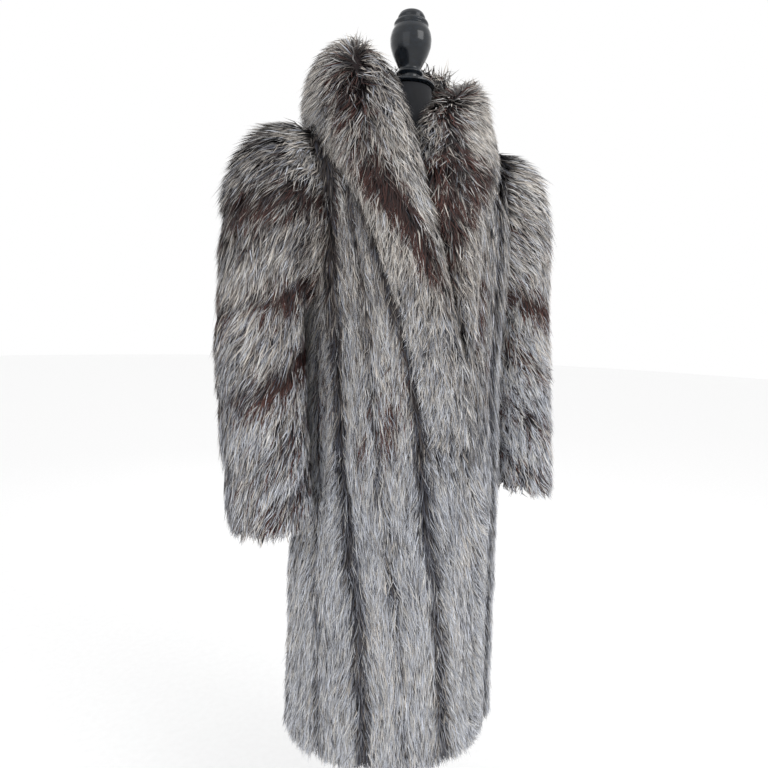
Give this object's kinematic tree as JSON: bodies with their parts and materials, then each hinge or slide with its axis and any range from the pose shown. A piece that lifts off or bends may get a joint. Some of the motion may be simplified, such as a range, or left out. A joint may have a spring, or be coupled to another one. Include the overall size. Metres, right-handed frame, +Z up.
{
  "type": "fur coat on dress form",
  "caption": "Full-length fur coat with a deep shawl collar, long sleeves and a lapped front, open inside and worn by a limbless dress form with a turned finial on a pole and a round base",
  "frame": {"origin": "centre of the base's underside, on the floor", "axes": "+Z up, the coat's front faces -Y, the wearer's right is -X"},
  "size_m": [0.6658, 0.4, 1.652],
  "materials": {
    "silver_fox": "long silver-grey guard hair over a dark brown-black base, let out in long pelt strips",
    "collar_fox": "the same fur, longer and fuller, with mahogany brown partings",
    "black_jersey": "black stretch jersey drawn smooth over the form",
    "black_wood": "turned wood, black satin lacquer",
    "black_steel": "black powder coat"
  },
  "bodies": {
    "root": {"back": "silver_fox", "right_front": "silver_fox", "left_front": "silver_fox", "right_sleeve": "silver_fox", "left_sleeve": "silver_fox", "collar": "collar_fox", "form_torso": "black_jersey", "neck_cap": "black_wood", "finial": "black_wood", "pole_collet": "black_steel", "pole": "black_steel", "base": "black_steel"}
  },
  "joints": []
}
